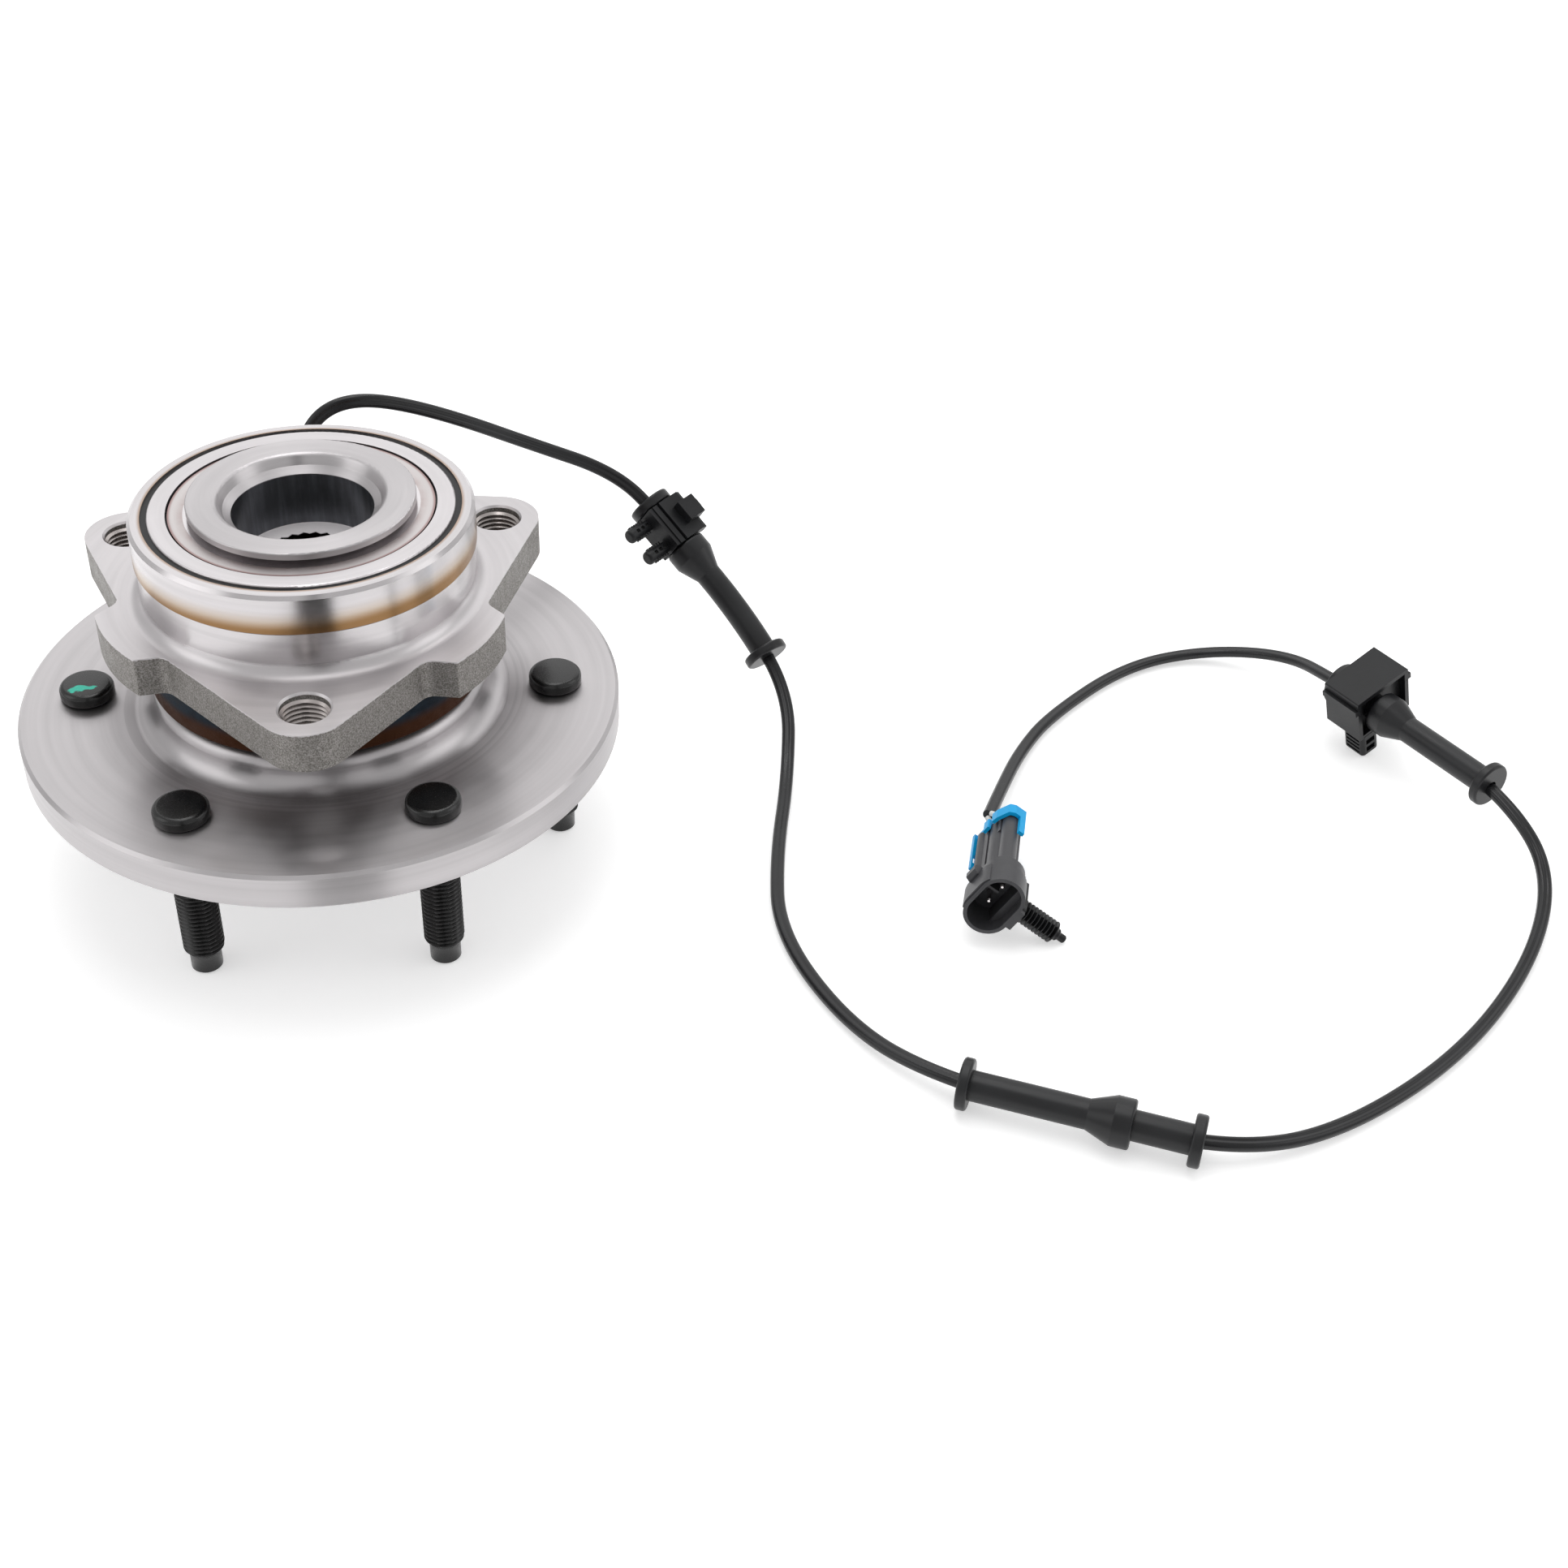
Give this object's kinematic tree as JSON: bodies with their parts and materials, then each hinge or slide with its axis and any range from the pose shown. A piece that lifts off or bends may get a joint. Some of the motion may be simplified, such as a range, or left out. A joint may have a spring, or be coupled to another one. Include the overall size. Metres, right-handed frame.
{
  "type": "wheel hub bearing",
  "caption": "Flanged wheel hub bearing with pressed-in studs, a lobed knuckle flange, tapered roller rows, a splined bore and a wheel speed sensor on a clipped harness.",
  "frame": {"origin": "on the spin axis, at the wheel mounting face (outboard face of the wheel flange), which is also the stud circle's plane", "axes": "+Z along the spin axis, inboard towards the vehicle; one lobe of the knuckle flange at -Y; the part stands on the stud tips at z = -0.0446"},
  "size_m": [0.4679, 0.2703, 0.1236],
  "materials": {
    "forged_steel": "turned bands over scaled forged faces",
    "machined_steel": "fine turned, oiled",
    "black_phosphate_steel": "black phosphate",
    "bearing_steel": "ground",
    "cage_plastic": "glass filled nylon",
    "seal_steel": "pressed stainless sheet",
    "seal_rubber": "moulded",
    "sintered_steel": "sintered",
    "sensor_plastic": "moulded",
    "zinc_plated_steel": "zinc plated",
    "cable_jacket": "satin extruded jacket",
    "grommet_rubber": "matt moulded",
    "clip_plastic": "moulded nylon",
    "connector_plastic": "moulded, satin",
    "wire_seal_rubber": "silicone",
    "tinned_terminals": "tin plated",
    "blue_lock_plastic": "moulded, satin",
    "white_wire": "extruded"
  },
  "bodies": {
    "knuckle_side": {"outer_ring": "forged_steel", "seal_case_inboard": "seal_steel", "seal_case_outboard": "seal_steel", "seal_rubber_inboard": "seal_rubber", "seal_rubber_outboard": "seal_rubber", "sensor_body": "sensor_plastic", "sensor_o_ring": "seal_rubber", "sensor_screw": "zinc_plated_steel", "cable": "cable_jacket", "signal_wires": "white_wire", "grommet_1": "grommet_rubber", "grommet_2": "grommet_rubber", "grommet_3": "grommet_rubber", "clip_twin_pin": "clip_plastic", "clip_box": "clip_plastic", "clip_box_lid": "clip_plastic", "connector_shell": "connector_plastic", "connector_seal": "wire_seal_rubber", "connector_terminals": "tinned_terminals", "connector_lock": "blue_lock_plastic", "connector_clip": "clip_plastic"},
    "hub": {"wheel_hub": "machined_steel", "wheel_studs": "black_phosphate_steel", "inner_ring_inboard": "bearing_steel", "inner_ring_outboard": "bearing_steel", "slinger_inboard": "seal_steel", "slinger_outboard": "seal_steel", "tone_ring": "sintered_steel"},
    "roller_row_inboard": {"rollers_inboard": "bearing_steel", "cage_inboard": "cage_plastic"},
    "roller_row_outboard": {"rollers_outboard": "bearing_steel", "cage_outboard": "cage_plastic"}
  },
  "joints": [
    {"name": "hub_spin", "type": "hinge", "parent": "knuckle_side", "child": "hub", "pos_m": [0, 0, 0], "axis": [0, 0, 1], "continuous": true},
    {"name": "inboard_row_turn", "type": "hinge", "parent": "knuckle_side", "child": "roller_row_inboard", "pos_m": [0, 0, 0], "axis": [0, 0, 1], "continuous": true},
    {"name": "outboard_row_turn", "type": "hinge", "parent": "knuckle_side", "child": "roller_row_outboard", "pos_m": [0, 0, 0], "axis": [0, 0, 1], "continuous": true}
  ],
  "couplings": [
    {"joint": "inboard_row_turn", "follows": "hub_spin", "ratio": 0.44},
    {"joint": "outboard_row_turn", "follows": "hub_spin", "ratio": 0.44}
  ]
}
